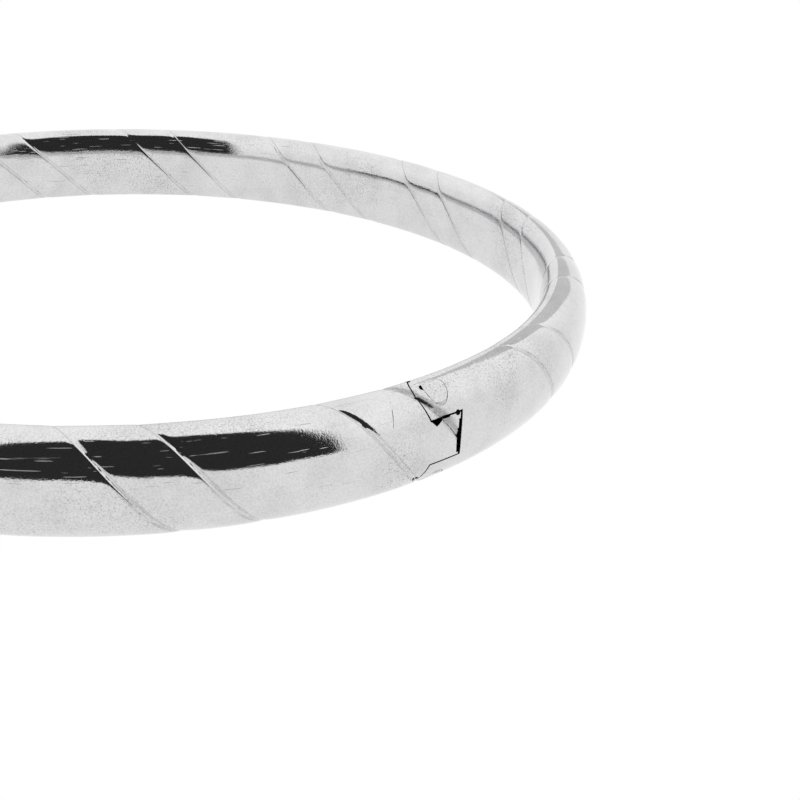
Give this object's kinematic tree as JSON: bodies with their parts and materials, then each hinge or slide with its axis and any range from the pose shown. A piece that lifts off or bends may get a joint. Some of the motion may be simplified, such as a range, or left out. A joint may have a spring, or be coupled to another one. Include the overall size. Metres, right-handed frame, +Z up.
{
  "type": "bangle bracelet",
  "caption": "Hinged metal bangle with a twisted double groove, a pinned knuckle hinge, a spring tongue clasp and a swinging safety hook.",
  "frame": {"origin": "centre of the ring on the plane it lies on", "axes": "+Z up through the wrist opening; +X towards the hinge pin; -X towards the clasp; the rear half is on +Y and the front half on -Y"},
  "size_m": [0.0653, 0.0646, 0.0076],
  "materials": {
    "polished_silver": "polished",
    "satin_silver": "satin",
    "hard_wire": "satin"
  },
  "bodies": {
    "rear_half": {"rear_tube": "polished_silver", "rear_hinge_knuckles": "polished_silver", "hinge_tube_upper": "satin_silver", "hinge_tube_lower": "satin_silver", "hinge_pin": "hard_wire", "catch_plate": "satin_silver", "safety_catch_post": "polished_silver"},
    "front_half": {"front_tube": "polished_silver", "front_hinge_knuckle": "polished_silver", "hinge_tube_centre": "satin_silver", "tongue_plate": "satin_silver", "tongue_leaf": "hard_wire", "safety_pivot_post": "polished_silver"},
    "tongue": {"tongue_spring": "hard_wire", "thumb_tab": "polished_silver"},
    "safety": {"safety_hook": "hard_wire"}
  },
  "joints": [
    {"name": "bangle_hinge", "type": "hinge", "parent": "rear_half", "child": "front_half", "pos_m": [0.03106, 0, 0.003], "axis": [0, 0, 1], "range_deg": [0, 60]},
    {"name": "thumb_press", "type": "hinge", "parent": "front_half", "child": "tongue", "pos_m": [-0.03027, 0.00445, 0.003], "axis": [0, 0, 1], "range_deg": [0, 5], "stiffness_Nm_per_rad": 0.01},
    {"name": "safety_swing", "type": "hinge", "parent": "front_half", "child": "safety", "pos_m": [-0.03019, -0.0019, 0.0064], "axis": [0, 0, -1], "range_deg": [0, 187.2]}
  ]
}
